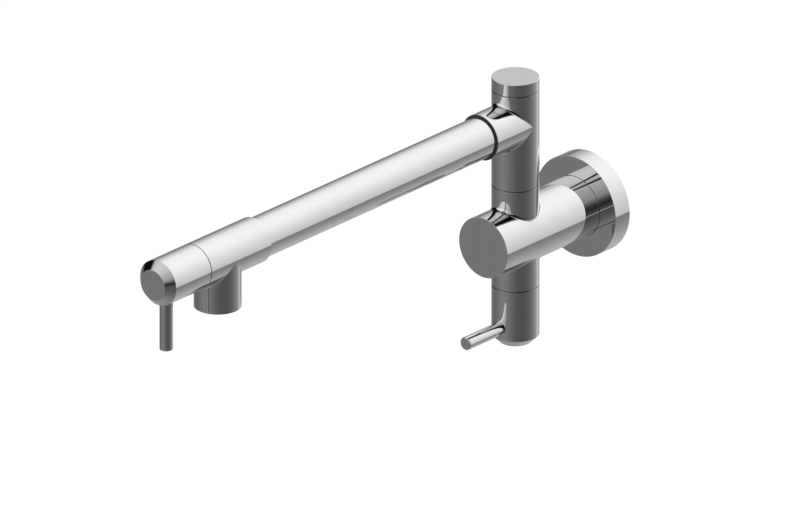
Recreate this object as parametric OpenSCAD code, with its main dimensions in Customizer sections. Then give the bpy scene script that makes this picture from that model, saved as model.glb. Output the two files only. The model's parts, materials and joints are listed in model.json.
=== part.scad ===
// Wall-mounted pot filler: one swinging arm, a supply valve and an outlet valve
// Millimetres. The wall plane is y = 0, the barrel axis is z = 0, and the arm
// points along -Y at rest. The post axis is vertical, in front of the wall.

/* [Post and barrel] */
// Distance from the wall to the post axis
post_to_wall = 70.3; // [64:0.1:90]
// Diameter of the post, the tee, the outlet body and both handles
post_d = 30; // [29:0.1:32]
// Diameter of the horizontal barrel
barrel_d = 40; // [36:0.1:46]
// Reach of the barrel in front of the post axis
barrel_front = 30.5; // [24:0.1:40]
// Gap between the back of the barrel and the wall
barrel_back_gap = 1; // [0.5:0.1:3]
// Height of the upper neck above the barrel axis
upper_neck_h = 33.8; // [28:0.1:40]
// Depth of the lower neck below the barrel axis
lower_neck_h = 33.5; // [30:0.1:36]
// Width of the thin shadow gap at each seam
seam_gap = 0.5; // [0.3:0.05:0.8]

/* [Wall flange] */
// Outer diameter of the wall flange
flange_d = 66.2; // [60:0.1:80]
// Thickness of the wall flange
flange_t = 13.5; // [11:0.1:18]
// Thickness of the flange's front plate
flange_face_t = 3; // [2:0.1:4]
// Thickness of the flange's rim
flange_rim_t = 4.2; // [3.6:0.1:5]
// Wall of the boss that holds the grip ring
flange_boss_t = 4; // [3.2:0.1:5]
// Depth of the boss behind the front plate
flange_boss_h = 6; // [4:0.1:7]
// Section of the rubber grip ring inside the flange
grip_ring_d = 2; // [1.5:0.1:2.4]
// Width of the wall gasket
gasket_w = 2.2; // [1.6:0.1:2.8]
// Thickness of the wall gasket
gasket_t = 1.8; // [1:0.1:2.4]

/* [Inlet] */
// Major diameter of the inlet thread
inlet_thread_d = 20.96; // [18:0.01:22]
// Depth of the threaded socket in the barrel
inlet_socket_h = 16; // [12:0.5:20]
// Length of the nipple that stands behind the wall plane
nipple_out = 18; // [12:0.5:30]
// Bore of the nipple
nipple_bore_d = 12; // [10:0.1:13]
// Width across flats of the key socket in the nipple
nipple_key_af = 14; // [13.2:0.1:15]
// Depth of the key socket in the nipple
nipple_key_h = 8; // [5:0.5:12]
// Diameter of the relief between the nipple's two threads
nipple_relief_d = 19; // [18:0.1:20]
// Width of the relief between the nipple's two threads
nipple_relief_h = 3; // [2:0.1:5]
// Lead-in chamfer at both ends of the nipple
nipple_chamfer = 1; // [0.5:0.1:1.2]
// Thickness of the flat inlet washer
inlet_washer_t = 2; // [1:0.1:3]
// Diameter of the passage from the inlet to the supply valve
inlet_passage_d = 11; // [8:0.1:11.6]
// Drop of that passage below the barrel axis
inlet_drop = 4; // [3.5:0.1:4.6]

/* [Swivel] */
// Diameter of the fixed spigot that the arm turns on
spigot_d = 19.9; // [18.5:0.1:20.4]
// Diameter of the spigot's thread in the upper neck
spigot_thread_d = 16.66; // [15.5:0.01:17]
// Depth of the spigot's socket in the upper neck
spigot_socket_h = 15; // [12:0.1:18]
// Bore of the spigot
spigot_bore_d = 11; // [9:0.1:11.4]
// Outer diameter of the spigot in its water gallery
gallery_d = 15; // [14.4:0.1:15.6]
// Height of the water gallery
gallery_h = 15.4; // [14:0.1:16]
// Diameter of the cross holes in the gallery
cross_hole_d = 9; // [7:0.1:9.4]
// Distance of each seal ring from the gallery's edge
swivel_ring_offset = 2.6; // [2.2:0.1:2.8]
// Section of the swivel's seal rings
swivel_ring_d = 2.4; // [2:0.1:2.6]
// Height of each wear ring
wear_ring_h = 2.6; // [2:0.1:2.8]
// Thickness of each wear ring
wear_ring_t = 1.2; // [0.8:0.1:1.6]
// Height of the upper wear ring's middle above the gallery
upper_wear_offset = 6.4; // [6:0.1:6.8]
// Height of the lower wear ring's middle above the thrust washer
lower_wear_offset = 4; // [3:0.1:8]
// Thickness of the flat washer under the spigot
base_washer_t = 1.5; // [1:0.1:2]
// Diameter of the thrust washer between the neck and the tee
thrust_washer_d = 25; // [23:0.1:29]
// Depth of the tapped hole in the top of the spigot
top_tap_h = 9.5; // [8:0.1:10]
// Diameter of the retaining screw
top_screw_d = 5; // [4:0.1:6]
// Head diameter of the retaining screw
top_screw_head_d = 9.5; // [8:0.1:11]
// Head height of the retaining screw
top_screw_head_h = 2.8; // [2:0.1:3]
// Width across flats of the retaining screw's key socket
top_screw_key_af = 3; // [2.5:0.1:3.2]
// Free depth of the tapped hole below the retaining screw
top_screw_gap = 1; // [0.5:0.1:3]
// Diameter of the retaining washer
top_washer_d = 22.4; // [21.6:0.1:22.6]
// Thickness of the retaining washer
top_washer_t = 1.5; // [1:0.1:1.8]

/* [Tee and cap] */
// Height of the arm axis above the barrel axis
arm_h = 75.7; // [73:0.1:90]
// Height of the tee's top above the arm axis
tee_top_h = 22.3; // [21:0.1:26]
// Depth of the tapped seat for the cap
cap_seat_h = 5.7; // [5.2:0.1:6]
// Diameter of the cap's thread
cap_thread_d = 23; // [22.8:0.1:24]
// Thickness of the cap above the tee
cap_t = 8.4; // [5:0.1:12]
// Width of the land by which the cap rests on the tee
cap_land_w = 1; // [0.6:0.1:1.5]
// Depth of the cap's threaded skirt
cap_skirt_h = 3.6; // [3:0.1:3.8]
// Wall of the cap's threaded skirt
cap_skirt_t = 3.6; // [3:0.1:4]
// Section of the cap's seal ring
cap_ring_d = 1.5; // [1.2:0.1:1.6]
// Reach of the tee's collar from the post axis
collar_reach = 33.9; // [28:0.1:45]

/* [Arm tube] */
// Outer diameter of the arm tube
tube_d = 26.7; // [25:0.1:27.4]
// Wall of the arm tube
tube_wall = 1.5; // [1:0.1:2.5]
// Depth of the tube's socket in the tee's collar
collar_socket_h = 13; // [9:0.1:13]
// Depth of the tube's socket in the outlet body
outlet_socket_h = 12; // [8:0.1:13]
// Diameter of the passage through the tee's collar
collar_passage_d = 15; // [12:0.1:15.2]
// Width along the arm of the black ring that seals each end of the tube
tube_ring_h = 1.5; // [1:0.1:2.5]
// Depth of each tube ring behind the end face around it
tube_ring_inset = 0.1; // [0.05:0.05:0.3]
// Wall of the lip around each tube ring
tube_ring_lip_t = 0.35; // [0.25:0.05:0.5]

/* [Outlet body] */
// Distance from the post axis to the start of the outlet body
outlet_start = 247.6; // [220:0.1:300]
// Length of the outlet body
outlet_body_h = 56.25; // [56:0.01:62]
// Distance from the outlet body's end face back to the spout axis
spout_inset = 22.45; // [21:0.05:24]
// Depth of the spout's mouth below the arm axis
spout_h = 33.4; // [32:0.1:45]
// Bore of the spout
spout_bore_d = 16; // [12:0.1:17]

/* [Aerator] */
// Outer diameter of the aerator's threaded ring
aerator_d = 24; // [22:0.1:25]
// Height of the aerator's threaded ring
aerator_h = 9; // [8:0.1:10]
// Wall of the aerator's threaded ring
aerator_wall = 1.8; // [1.4:0.1:2.2]
// Depth of the aerator inside the spout's mouth
aerator_inset = 0.6; // [0.3:0.1:1.5]
// Width of each key notch in the aerator's ring
aerator_notch_w = 3; // [2:0.1:4]
// Depth of each key notch in the aerator's ring
aerator_notch_h = 1.2; // [0.8:0.1:2]
// Thickness of the aerator's washer
aerator_washer_t = 1.5; // [1:0.1:2]
// Thickness of the ledge that carries the aerator's insert
aerator_ledge_h = 1; // [0.8:0.1:1.5]
// Width of the ledge that carries the aerator's insert
aerator_ledge_w = 0.9; // [0.6:0.1:1.2]
// Height of the aerator's honeycomb insert
insert_h = 6; // [4:0.1:6.8]
// Distance between the cells of the honeycomb
cell_pitch = 2.2; // [2:0.05:2.6]
// Wall between two cells of the honeycomb
cell_wall = 0.5; // [0.4:0.05:0.7]

/* [Valve cartridge] */
// Depth of a cartridge's seat behind the neck's end face
seat_depth = 38; // [37.5:0.1:39]
// Major diameter of the cartridge's thread
valve_thread_d = 20.96; // [20.6:0.01:21.6]
// Length of the cartridge's thread
valve_thread_h = 9; // [7:0.1:12]
// Diameter of the pocket in front of the thread
pocket_d = 20; // [19.4:0.1:20.2]
// Outer diameter of the cartridge's nose
nose_d = 18.6; // [18.4:0.1:18.8]
// Wall of the cartridge's nose
nose_wall = 1.3; // [1.1:0.1:1.4]
// Width of the two side windows
window_w = 9; // [6:0.1:10]
// Diameter of the stem's shaft
stem_d = 9.9; // [9:0.1:10.4]
// Height of the seat seal
seat_seal_h = 2; // [1.5:0.1:2.4]
// Hole of the seat seal, which the riser and the seat share
seat_hole_d = 11; // [9:0.1:11.6]
// Thickness of each ceramic disc
disc_t = 3; // [2.5:0.1:3.4]
// Inner radius of the disc's ports
port_in_r = 2; // [1.6:0.1:2.4]
// Outer radius of the disc's ports
port_out_r = 5.4; // [4.6:0.1:5.6]
// Angle of each port
port_angle = 80; // [60:1:84]
// Width of the fixed disc's ears
ear_w = 3.6; // [3:0.1:4.4]
// Free height between the moving disc and the stem's plate
lug_gap = 4; // [3:0.1:5]
// Width of the stem's two driving lugs
lug_w = 3; // [2.4:0.1:3.6]
// Radial thickness of the driving lugs
lug_t = 1.8; // [1.2:0.1:2]
// Depth of the lugs inside the moving disc
lug_bite = 1.5; // [1:0.1:2]
// Thickness of the stem's plate
stem_plate_t = 2; // [1.5:0.1:2.5]
// Thickness of the glide ring
glide_ring_t = 0.8; // [0.5:0.1:1.2]
// Section of the stem's seal rings
stem_ring_d = 1.8; // [1.5:0.1:2]
// Distance from the glide ring to the first stem seal ring
stem_ring_offset = 5; // [4:0.1:6]
// Distance between the two stem seal rings
stem_ring_pitch = 5; // [4:0.1:6]
// Diameter of the cartridge's shoulder flange
shoulder_d = 24.6; // [24.2:0.1:24.8]
// Thickness of the cartridge's shoulder flange
shoulder_t = 1.5; // [1:0.1:2]
// Width across flats of the cartridge's hexagon
hex_af = 19; // [17:0.5:20]
// Height of the cartridge's hexagon
hex_h = 5; // [4:0.1:5.4]
// Section of the seal ring under the shoulder
thread_ring_d = 1.5; // [1.2:0.1:1.6]
// Thickness of the stem clip
clip_t = 0.8; // [0.6:0.1:1]
// Outer diameter of the stem clip
clip_d = 14; // [12:0.1:15]
// Depth of the clip's groove in the stem
clip_groove_h = 0.9; // [0.6:0.1:1.1]

/* [Handles] */
// Reach of a handle's end from the neck's end face
handle_reach = 38.85; // [37:0.05:44]
// Chamfer at the end of a handle
handle_chamfer = 5; // [3:0.1:6]
// Bore of the handle over the cartridge's hexagon
handle_bore_d = 25.4; // [25.2:0.1:25.8]
// Distance from the neck's end face to the floor of that bore
handle_bore_h = 9.5; // [9:0.1:10.5]
// Outer diameter of the splines
spline_d = 8; // [7:0.1:8.4]
// Depth of the spline teeth
spline_tooth_h = 0.5; // [0.3:0.05:0.6]
// Length of the splines on the stem
spline_h = 10.5; // [9:0.1:11]
// Number of spline teeth
spline_teeth = 20; // [16:1:24]
// Diameter of a lever pin
lever_d = 8.5; // [7.5:0.1:9]
// Reach of a lever pin's tip from the handle's axis
lever_reach = 47.3; // [35:0.1:70]
// Distance from the neck's end face to the lever's axis
lever_at = 26.1; // [25.8:0.1:27.5]
// Depth of the lever's seat below the handle's surface
lever_seat_h = 6; // [4:0.1:8]
// Diameter of the lever's threaded stud
stud_d = 5; // [4:0.1:6]
// Length of the lever's threaded stud
stud_h = 6; // [4:0.1:7]
// Rounding of the lever pin's edges
lever_edge_r = 0.5; // [0.3:0.05:0.8]
// Diameter of the handle's grub screw
grub_d = 4; // [3:0.1:5]
// Distance from the neck's end face to the grub screw's axis
grub_at = 15; // [13.5:0.1:16]
// Depth of the grub screw below the handle's surface
grub_inset = 0.6; // [0.3:0.1:1.5]
// Width across flats of the grub screw's key socket
grub_key_af = 2; // [1.5:0.1:2.2]
// Depth of the grub screw's key socket
grub_key_h = 2.2; // [1.5:0.1:3]

/* [Clearances] */
// Radial clearance of the flange round the barrel
flange_fit = 0.15; // [0.05:0.05:0.3]
// Radial clearance of a screw thread in its hole
thread_fit = 0.05; // [0.03:0.01:0.1]
// Radial clearance of a brazed tube or a seated pin in its socket
socket_fit = 0.04; // [0.02:0.01:0.1]
// Radial clearance of a turning shaft in its bore
running_fit = 0.05; // [0.03:0.01:0.1]
// Clearance round a seal ring or washer in its groove
ring_fit = 0.05; // [0.03:0.01:0.1]
// Axial play of the retained arm
axial_play = 0.1; // [0.05:0.05:0.2]

/* [Hidden] */
$fn = 96;

// Overrun of every cut past the face it opens
cut = 1;

// Radii of the driving diameters
post_r = post_d / 2;
barrel_r = barrel_d / 2;
spigot_r = spigot_d / 2;
swivel_bore_r = spigot_r + running_fit;
stem_r = stem_d / 2;
stem_bore_r = stem_r + running_fit;
nose_r = nose_d / 2;
chamber_r = nose_r - nose_wall;
cap_thread_r = cap_thread_d / 2;
shoulder_r = shoulder_d / 2;
valve_thread_r = valve_thread_d / 2;

// Levels up the post
tee_bottom = upper_neck_h + seam_gap;
tee_top = arm_h + tee_top_h;
tee_shoulder = tee_top - cap_seat_h;
spigot_top = tee_shoulder + axial_play;
gallery_low = arm_h - gallery_h / 2;
gallery_high = arm_h + gallery_h / 2;
spigot_foot = upper_neck_h - spigot_socket_h + base_washer_t;
spigot_bore_top = arm_h + cross_hole_d / 2;
swivel_ring_levels = [gallery_low - swivel_ring_offset, gallery_high + swivel_ring_offset];
wear_ring_levels = [tee_bottom + lower_wear_offset, gallery_high + upper_wear_offset];
swivel_groove_w = swivel_ring_d + 2 * ring_fit;
wear_groove_w = wear_ring_h + 2 * ring_fit;

// Levels along a cartridge, measured from its seat towards the handle
disc_level = seat_seal_h;
moving_level = disc_level + disc_t;
window_level = moving_level + disc_t;
plate_level = window_level + lug_gap;
glide_level = plate_level + stem_plate_t;
chamber_h = glide_level + glide_ring_t;
first_stem_ring = chamber_h + stem_ring_offset;
stem_ring_levels = [first_stem_ring, first_stem_ring + stem_ring_pitch];
stem_groove_w = stem_ring_d + 2 * ring_fit;
mouth_h = thread_ring_d + ring_fit;
mouth_r = valve_thread_r + thread_ring_d + 2 * ring_fit;
thread_start = seat_depth - mouth_h - valve_thread_h;
hex_level = seat_depth + shoulder_t;
hex_top = hex_level + hex_h;
stem_shoulder = seat_depth + handle_bore_h;
stem_end = stem_shoulder + spline_h;
handle_start = seat_depth + seam_gap;
handle_end = seat_depth + handle_reach;
lever_level = seat_depth + lever_at;
grub_level = seat_depth + grub_at;
lever_seat_r = post_r - lever_seat_h;
spline_r = spline_d / 2;
disc_r = chamber_r - ring_fit;

// Places along the arm, measured from the post axis
outlet_end = outlet_start + outlet_body_h;
spout_at = outlet_end - spout_inset;
tube_start = collar_reach - collar_socket_h;
tube_end = outlet_start + outlet_socket_h;
tube_bore_d = tube_d - 2 * tube_wall;
tube_ring_seat_r = post_r - tube_ring_lip_t;
tube_ring_seat_h = tube_ring_h + tube_ring_inset;

// Levels of the aerator, measured below the arm axis
aerator_low = spout_h - aerator_inset;
aerator_top = aerator_low - aerator_h;
aerator_seat = aerator_top - aerator_washer_t;
insert_low = aerator_low - aerator_notch_h - aerator_ledge_h;
insert_d = aerator_d - 2 * aerator_wall;
cell_rings = floor((insert_d / 2 - cell_pitch) / cell_pitch);

// Colours of the finishes
chrome = "silver";
brass = "goldenrod";
steel = "slategray";
rubber = "dimgray";
ceramic = "white";
polymer = "ivory";
dark_polymer = "darkslategray";

// Puts its children on the post axis at a height above the barrel axis
module on_post(z = 0) {
    translate([0, -post_to_wall, z]) children();
}

// Turns +Z towards -Y, from a point that is a distance in front of the wall
module towards_room(y = 0, z = 0) {
    translate([0, -y, z]) rotate([90, 0, 0]) children();
}

// Puts a cartridge in the lower neck, with its seat up
module at_supply() {
    on_post(seat_depth - lower_neck_h) rotate([180, 0, 180]) children();
}

// Puts a cartridge in the outlet body, with its seat towards the wall
module at_outlet() {
    towards_room(post_to_wall + outlet_end - seat_depth, arm_h) children();
}

// A flat ring that stands on z = 0
module flat_ring(inner_r, outer_r, h) {
    difference() {
        cylinder(r = outer_r, h = h);
        translate([0, 0, -cut]) cylinder(r = inner_r, h = h + 2 * cut);
    }
}

// A round seal ring of section d whose middle circle has the radius r
module seal_ring(r, d) {
    rotate_extrude() translate([r, 0]) circle(d = d);
}

// A groove round a shaft, centred on z = 0
module shaft_groove(root_r, outer_r, w) {
    translate([0, 0, -w / 2]) flat_ring(root_r, outer_r + cut, w);
}

// Toothed outline whose teeth stand between a root and a tip radius
module spline_outline(tip_r, tooth_h) {
    step = 360 / spline_teeth;
    flank_share = 0.3;
    land_share = 0.2;
    polygon([
        for (i = [0 : spline_teeth - 1])
            for (corner = [
                [-flank_share, tip_r - tooth_h],
                [-land_share, tip_r],
                [land_share, tip_r],
                [flank_share, tip_r - tooth_h]
            ])
                let (angle = (i + corner[0]) * step)
                    corner[1] * [cos(angle), sin(angle)]
    ]);
}

module wall_flange() {
    hole_r = barrel_r + flange_fit;
    groove_w = grip_ring_d + 2 * ring_fit;
    groove_r = barrel_r + grip_ring_d + 3 * ring_fit;
    groove_at = flange_t - flange_face_t - flange_boss_h / 2;
    rim_r = flange_d / 2;
    rim_middle = rim_r - flange_rim_t / 2;
    color(chrome) towards_room() difference() {
        cylinder(d = flange_d, h = flange_t);
        translate([0, 0, -cut]) cylinder(r = hole_r, h = flange_t + 2 * cut);
        translate([0, 0, -cut])
            flat_ring(barrel_r + flange_fit + flange_boss_t, rim_r - flange_rim_t,
                      flange_t - flange_face_t + cut);
        translate([0, 0, -cut])
            cylinder(r = hole_r + flange_boss_t + cut,
                     h = flange_t - flange_face_t - flange_boss_h + cut);
        translate([0, 0, -cut])
            flat_ring(rim_middle - gasket_w / 2 - ring_fit,
                      rim_middle + gasket_w / 2 + ring_fit, gasket_t + cut);
        translate([0, 0, groove_at]) rotate_extrude()
            translate([hole_r - cut, -groove_w / 2]) square([groove_r - hole_r + cut, groove_w]);
    }
}

module flange_gasket() {
    rim_middle = flange_d / 2 - flange_rim_t / 2;
    color(rubber) towards_room()
        flat_ring(rim_middle - gasket_w / 2, rim_middle + gasket_w / 2, gasket_t);
}

module flange_grip_ring() {
    ring_at = flange_t - flange_face_t - flange_boss_h / 2;
    color(rubber) towards_room(ring_at)
        seal_ring(barrel_r + ring_fit + grip_ring_d / 2, grip_ring_d);
}

// Nipple with a thread at each end, a relief between them and a key socket
module inlet_nipple() {
    inside_h = barrel_back_gap + inlet_socket_h - inlet_washer_t;
    thread_r = inlet_thread_d / 2;
    relief_r = nipple_relief_d / 2;
    color(brass) towards_room() difference() {
        rotate_extrude() polygon([
            [0, -nipple_out],
            [thread_r - nipple_chamfer, -nipple_out],
            [thread_r, -nipple_out + nipple_chamfer],
            [thread_r, 0],
            [relief_r, 0],
            [relief_r, nipple_relief_h],
            [thread_r, nipple_relief_h],
            [thread_r, inside_h - nipple_chamfer],
            [thread_r - nipple_chamfer, inside_h],
            [0, inside_h]
        ]);
        translate([0, 0, -nipple_out - cut])
            cylinder(d = nipple_bore_d, h = nipple_out + inside_h + 2 * cut);
        translate([0, 0, inside_h - nipple_key_h])
            cylinder(d = nipple_key_af / cos(30), h = nipple_key_h + cut, $fn = 6);
    }
}

module inlet_washer() {
    washer_at = barrel_back_gap + inlet_socket_h - inlet_washer_t;
    color(rubber) towards_room(washer_at)
        flat_ring(nipple_bore_d / 2, inlet_thread_d / 2 - ring_fit, inlet_washer_t);
}

// Everything that a cartridge needs cut away, from its seat to the neck's end
module cartridge_pocket() {
    cylinder(d = pocket_d, h = seat_depth + cut);
    translate([0, 0, thread_start])
        cylinder(r = valve_thread_r + thread_fit, h = seat_depth - thread_start + cut);
    translate([0, 0, seat_depth - mouth_h]) cylinder(r = mouth_r, h = mouth_h + cut);
}

module valve_body() {
    seat_level = seat_depth - lower_neck_h;
    color(chrome) difference() {
        union() {
            towards_room(barrel_back_gap)
                cylinder(r = barrel_r, h = post_to_wall + barrel_front - barrel_back_gap);
            on_post(-lower_neck_h) cylinder(d = post_d, h = lower_neck_h + upper_neck_h);
        }
        at_supply() cartridge_pocket();
        on_post(seat_level - cut)
            cylinder(d = seat_hole_d, h = upper_neck_h - seat_level + 2 * cut);
        on_post(upper_neck_h - spigot_socket_h)
            cylinder(r = spigot_thread_d / 2 + thread_fit, h = spigot_socket_h + cut);
        towards_room(barrel_back_gap - cut)
            cylinder(r = inlet_thread_d / 2 + thread_fit, h = inlet_socket_h + cut);
        towards_room(barrel_back_gap + inlet_socket_h - cut, -inlet_drop)
            cylinder(d = inlet_passage_d, h = post_to_wall - barrel_back_gap - inlet_socket_h + cut);
    }
}

module swivel_spigot() {
    color(brass) difference() {
        union() {
            on_post(spigot_foot) cylinder(d = spigot_thread_d, h = upper_neck_h - spigot_foot + cut);
            on_post(upper_neck_h) cylinder(r = spigot_r, h = spigot_top - upper_neck_h);
        }
        on_post(spigot_foot - cut)
            cylinder(d = spigot_bore_d, h = spigot_bore_top - spigot_foot + cut);
        on_post(arm_h) shaft_groove(gallery_d / 2, spigot_r, gallery_h);
        on_post(arm_h)
            for (turn = [0, 90]) rotate([90, 0, turn])
                cylinder(d = cross_hole_d, h = spigot_d, center = true);
        for (level = swivel_ring_levels) on_post(level)
            shaft_groove(swivel_bore_r - swivel_ring_d - 2 * ring_fit, spigot_r, swivel_groove_w);
        for (level = wear_ring_levels) on_post(level)
            shaft_groove(spigot_r - wear_ring_t, spigot_r, wear_groove_w);
        on_post(spigot_top - top_tap_h)
            cylinder(d = top_screw_d + 2 * thread_fit, h = top_tap_h + cut);
    }
}

module spigot_base_washer() {
    color(rubber) on_post(upper_neck_h - spigot_socket_h)
        flat_ring(spigot_bore_d / 2, spigot_thread_d / 2 - ring_fit, base_washer_t);
}

module swivel_seal_rings() {
    color(rubber) for (level = swivel_ring_levels) on_post(level)
        seal_ring(swivel_bore_r - ring_fit - swivel_ring_d / 2, swivel_ring_d);
}

module swivel_wear_rings() {
    color(polymer) for (level = wear_ring_levels) on_post(level - wear_ring_h / 2)
        flat_ring(spigot_r - wear_ring_t + ring_fit, spigot_r, wear_ring_h);
}

module thrust_washer() {
    color(dark_polymer) on_post(upper_neck_h)
        flat_ring(spigot_r + ring_fit, thrust_washer_d / 2, seam_gap);
}

module retaining_washer() {
    color(steel) on_post(spigot_top)
        flat_ring(top_screw_d / 2 + ring_fit, top_washer_d / 2, top_washer_t);
}

module retaining_screw() {
    head_level = spigot_top + top_washer_t;
    key_h = top_screw_head_h / 2;
    shank_h = top_tap_h - top_screw_gap + top_washer_t;
    color(steel) difference() {
        union() {
            on_post(head_level) cylinder(d = top_screw_head_d, h = top_screw_head_h);
            on_post(head_level - shank_h) cylinder(d = top_screw_d, h = shank_h);
        }
        on_post(head_level + top_screw_head_h - key_h)
            cylinder(d = top_screw_key_af / cos(30), h = key_h + cut, $fn = 6);
    }
}

module arm_tee() {
    color(chrome) difference() {
        union() {
            on_post(tee_bottom) cylinder(d = post_d, h = tee_top - tee_bottom);
            towards_room(post_to_wall, arm_h) cylinder(d = post_d, h = collar_reach);
        }
        on_post(tee_bottom - cut) cylinder(r = swivel_bore_r, h = tee_top - tee_bottom + 2 * cut);
        on_post(tee_shoulder) cylinder(r = cap_thread_r + thread_fit, h = cap_seat_h + cut);
        towards_room(post_to_wall, arm_h) cylinder(d = collar_passage_d, h = collar_reach);
        towards_room(post_to_wall + tube_start, arm_h)
            cylinder(r = tube_d / 2 + socket_fit, h = collar_socket_h + cut);
        towards_room(post_to_wall + collar_reach - tube_ring_seat_h, arm_h)
            cylinder(r = tube_ring_seat_r, h = tube_ring_seat_h + cut);
    }
}

module top_cap() {
    ring_level = -cap_ring_d / 2 - ring_fit;
    land_r = cap_thread_r + cap_land_w;
    color(chrome) on_post(tee_top) difference() {
        union() {
            translate([0, 0, seam_gap]) cylinder(d = post_d, h = cap_t - seam_gap);
            cylinder(r = land_r, h = cap_t - seam_gap);
            translate([0, 0, -cap_skirt_h]) cylinder(r = cap_thread_r, h = cap_skirt_h + seam_gap);
        }
        translate([0, 0, -cap_skirt_h - cut])
            cylinder(r = cap_thread_r - cap_skirt_t, h = cap_skirt_h + cut);
        translate([0, 0, ring_level])
            shaft_groove(cap_thread_r - cap_ring_d, cap_thread_r, cap_ring_d + 2 * ring_fit);
    }
}

module top_cap_ring() {
    ring_level = -cap_ring_d / 2 - ring_fit;
    color(rubber) on_post(tee_top + ring_level)
        seal_ring(cap_thread_r - cap_ring_d / 2 + ring_fit / 2, cap_ring_d - ring_fit);
}

module arm_tube() {
    color(chrome) towards_room(post_to_wall + tube_start, arm_h)
        flat_ring(tube_bore_d / 2, tube_d / 2, tube_end - tube_start);
}

// The two black rings in the mouths of the collar and of the outlet body
module tube_seal_rings() {
    for (start = [collar_reach - tube_ring_seat_h, outlet_start + tube_ring_inset])
        color(rubber) towards_room(post_to_wall + start, arm_h)
            flat_ring(tube_d / 2 + ring_fit, tube_ring_seat_r - ring_fit, tube_ring_h);
}

module outlet_body() {
    spout_y = post_to_wall + spout_at;
    color(chrome) difference() {
        union() {
            towards_room(post_to_wall + outlet_start, arm_h) cylinder(d = post_d, h = outlet_body_h);
            translate([0, -spout_y, arm_h - spout_h]) cylinder(d = post_d, h = spout_h);
        }
        at_outlet() cartridge_pocket();
        towards_room(post_to_wall + outlet_start, arm_h)
            cylinder(d = seat_hole_d, h = outlet_body_h - seat_depth + cut);
        towards_room(post_to_wall + outlet_start - cut, arm_h)
            cylinder(r = tube_d / 2 + socket_fit, h = outlet_socket_h + cut);
        towards_room(post_to_wall + outlet_start - cut, arm_h)
            cylinder(r = tube_ring_seat_r, h = tube_ring_seat_h + cut);
        translate([0, -spout_y, arm_h - spout_h]) cylinder(d = spout_bore_d, h = spout_h);
        translate([0, -spout_y, arm_h - spout_h - cut])
            cylinder(r = aerator_d / 2 + thread_fit, h = spout_h - aerator_seat + cut);
    }
}

// Puts its children on the spout axis at a depth below the arm axis
module on_spout(depth) {
    translate([0, -post_to_wall - spout_at, arm_h - depth]) children();
}

module aerator_ring() {
    color(brass) on_spout(aerator_low) difference() {
        cylinder(d = aerator_d, h = aerator_h);
        translate([0, 0, aerator_low - insert_low])
            cylinder(d = insert_d, h = aerator_h);
        translate([0, 0, -cut])
            cylinder(d = insert_d - 2 * aerator_ledge_w, h = aerator_h);
        for (turn = [0, 90]) rotate(turn)
            translate([-aerator_d, -aerator_notch_w / 2, -cut])
                cube([2 * aerator_d, aerator_notch_w, aerator_notch_h + cut]);
    }
}

// Hexagonal honeycomb of through cells, with a plain rim
module aerator_insert() {
    color(polymer) on_spout(insert_low) difference() {
        cylinder(r = insert_d / 2 - ring_fit, h = insert_h);
        for (row = [-cell_rings : cell_rings], place = [-cell_rings : cell_rings])
            if (abs(row + place) <= cell_rings)
                translate([cell_pitch * (place + row / 2), cell_pitch * row * sin(60), -cut])
                    cylinder(d = (cell_pitch - cell_wall) / cos(30), h = insert_h + 2 * cut, $fn = 6);
    }
}

module aerator_washer() {
    color(rubber) on_spout(aerator_top)
        flat_ring(spout_bore_d / 2, aerator_d / 2 - ring_fit, aerator_washer_t);
}

// Brass housing of a cartridge: nose with windows, thread, shoulder and hexagon
module valve_housing() {
    slot_h = seat_seal_h + disc_t;
    difference() {
        union() {
            cylinder(r = nose_r, h = seat_depth);
            translate([0, 0, thread_start])
                cylinder(r = valve_thread_r, h = seat_depth - thread_start);
            translate([0, 0, seat_depth]) cylinder(r = shoulder_r, h = shoulder_t);
            translate([0, 0, hex_level]) cylinder(d = hex_af / cos(30), h = hex_h, $fn = 6);
        }
        translate([0, 0, -cut]) cylinder(r = stem_bore_r, h = hex_top + 2 * cut);
        translate([0, 0, -cut]) cylinder(r = chamber_r, h = chamber_h + cut);
        translate([-window_w / 2, -nose_d, window_level]) cube([window_w, 2 * nose_d, lug_gap]);
        translate([-nose_d, -ear_w / 2 - ring_fit, -cut])
            cube([2 * nose_d, ear_w + 2 * ring_fit, slot_h + cut]);
    }
}

// Two opposite ports through a ceramic disc, their middles turned by an angle
module disc_ports(turn) {
    for (side = [0, 180])
        rotate(turn + side - port_angle / 2) rotate_extrude(angle = port_angle)
            translate([port_in_r, -cut]) square([port_out_r - port_in_r, disc_t + 2 * cut]);
}

// Disc that stays still: two ears hold it in the housing's slots
module fixed_disc() {
    difference() {
        union() {
            cylinder(r = disc_r, h = disc_t);
            intersection() {
                cylinder(r = nose_r, h = disc_t);
                translate([-nose_d, -ear_w / 2, 0]) cube([2 * nose_d, ear_w, disc_t]);
            }
        }
        disc_ports(0);
    }
}

// Disc that turns: two rim notches take the stem's lugs
module moving_disc() {
    notch_w = lug_w + 2 * ring_fit;
    difference() {
        cylinder(r = disc_r, h = disc_t);
        disc_ports(90);
        for (side = [0, 180]) rotate(side)
            translate([disc_r - lug_t - 2 * ring_fit, -notch_w / 2, disc_t - lug_bite - ring_fit])
                cube([disc_r, notch_w, lug_bite + ring_fit + cut]);
    }
}

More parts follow.
